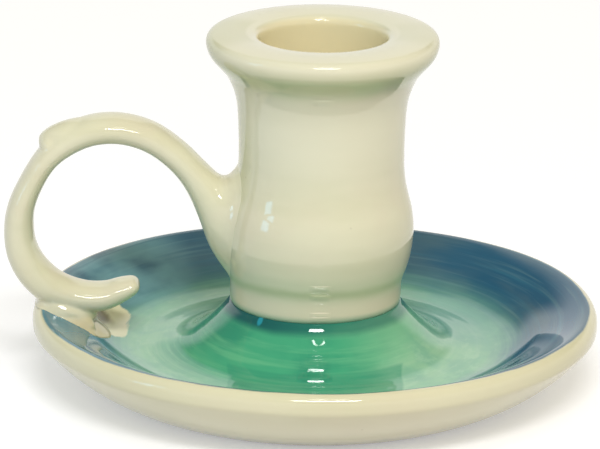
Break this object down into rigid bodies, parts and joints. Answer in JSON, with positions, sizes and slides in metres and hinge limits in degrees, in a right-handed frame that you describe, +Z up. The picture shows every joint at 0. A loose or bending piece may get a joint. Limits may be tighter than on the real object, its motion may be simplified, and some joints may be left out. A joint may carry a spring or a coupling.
{
  "type": "chamberstick",
  "caption": "Glazed pottery chamberstick: a saucer with a sloping brim, a flanged candle socket on a raised hub, and a scrolled finger loop at one side.",
  "frame": {"origin": "on the candle's axis, in the plane of the foot ring that the saucer stands on", "axes": "+Z up along the candle's axis, -X towards the finger loop, Y across the loop"},
  "size_m": [0.1134, 0.108, 0.0695],
  "materials": {
    "painted_glaze": "gloss",
    "socket_glaze": "gloss",
    "loop_glaze": "gloss"
  },
  "bodies": {
    "root": {"saucer": "painted_glaze", "candle_socket": "socket_glaze", "finger_loop": "loop_glaze", "thumb_rest": "loop_glaze", "rim_pad": "loop_glaze"}
  },
  "joints": []
}
